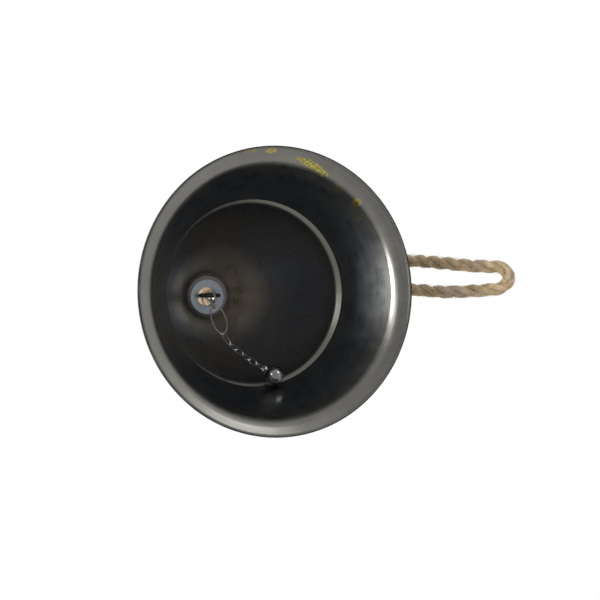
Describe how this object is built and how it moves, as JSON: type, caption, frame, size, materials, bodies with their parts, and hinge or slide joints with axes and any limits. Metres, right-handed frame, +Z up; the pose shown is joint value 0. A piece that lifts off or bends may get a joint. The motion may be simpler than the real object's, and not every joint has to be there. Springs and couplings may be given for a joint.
{
  "type": "temple bell",
  "caption": "Flared sheet-metal bell with a rolled bead, a wire hanger through the crown, a jute rope loop and a ball clapper on a chain.",
  "frame": {"origin": "centre of the mouth, in the plane that the rim stands on", "axes": "+Z up along the bell's axis towards the crown; +X towards the side where the rope loop lies; the clapper is stored swung towards +Y"},
  "size_m": [0.1729, 0.12, 0.1206],
  "materials": {
    "bell_metal": "dark spun metal, satin, worn to brass in places",
    "washer_steel": "grey blue zinc, dull",
    "hanger_steel": "dark drawn wire, satin",
    "chain_steel": "bright drawn wire",
    "ball_steel": "polished ball, lightly marked",
    "jute_rope": "three-strand jute, matt and hairy"
  },
  "bodies": {
    "bell": {"bell_shell": "bell_metal", "outer_washer": "washer_steel", "inner_washer": "washer_steel", "hanger": "hanger_steel"},
    "rope": {"rope_loop": "jute_rope", "rope_knot": "jute_rope"},
    "top_link": {"top_link": "chain_steel"},
    "oval_link": {"oval_link": "chain_steel"},
    "joining_link": {"joining_link": "chain_steel"},
    "chain_link_1": {"chain_link_1": "chain_steel"},
    "chain_link_2": {"chain_link_2": "chain_steel"},
    "chain_link_3": {"chain_link_3": "chain_steel"},
    "chain_link_4": {"chain_link_4": "chain_steel"},
    "chain_link_5": {"chain_link_5": "chain_steel"},
    "ball": {"ball_pin": "chain_steel", "clapper_ball": "ball_steel"}
  },
  "joints": [
    {"name": "rope_swing", "type": "hinge", "parent": "bell", "child": "rope", "pos_m": [0, 0, 0.114], "axis": [0, 1, 0], "range_deg": [-225, 0]},
    {"name": "clapper_swing", "type": "hinge", "parent": "bell", "child": "top_link", "pos_m": [0, 0, 0.094], "axis": [1, 0, 0], "range_deg": [-50, 0]},
    {"name": "oval_turn", "type": "hinge", "parent": "top_link", "child": "oval_link", "pos_m": [0, 0.00547, 0.08872], "axis": [0, -0.6947, -0.7193], "range_deg": [-10, 3]},
    {"name": "joining_swing", "type": "hinge", "parent": "oval_link", "child": "joining_link", "pos_m": [-0.0005, 0.01841, 0.07622], "axis": [-0.9996, -0.0201, 0.0194], "range_deg": [0, 35]},
    {"name": "link_1_turn", "type": "hinge", "parent": "joining_link", "child": "chain_link_1", "pos_m": [-0.00083, 0.02313, 0.06411], "axis": [0.0117, -0.9316, -0.3634], "range_deg": [-12, 4]},
    {"name": "link_2_swing", "type": "hinge", "parent": "chain_link_1", "child": "chain_link_2", "pos_m": [0.00026, 0.0254, 0.05834], "axis": [-0.9849, 0.0521, -0.1651], "range_deg": [0, 30]},
    {"name": "link_3_turn", "type": "hinge", "parent": "chain_link_2", "child": "chain_link_3", "pos_m": [0.00135, 0.0275, 0.0525], "axis": [0.0068, -0.9413, -0.3376], "range_deg": [-12, 5]},
    {"name": "link_4_swing", "type": "hinge", "parent": "chain_link_3", "child": "chain_link_4", "pos_m": [0.00255, 0.02959, 0.04668], "axis": [-0.9814, 0.0585, -0.1829], "range_deg": [0, 30]},
    {"name": "link_5_turn", "type": "hinge", "parent": "chain_link_4", "child": "chain_link_5", "pos_m": [0.00376, 0.03144, 0.04078], "axis": [-0.0012, -0.9544, -0.2987], "range_deg": [-12, 9]},
    {"name": "ball_swing", "type": "hinge", "parent": "chain_link_5", "child": "ball", "pos_m": [0.00524, 0.03327, 0.03494], "axis": [-0.9721, 0.0712, -0.2235], "range_deg": [0, 35]}
  ]
}
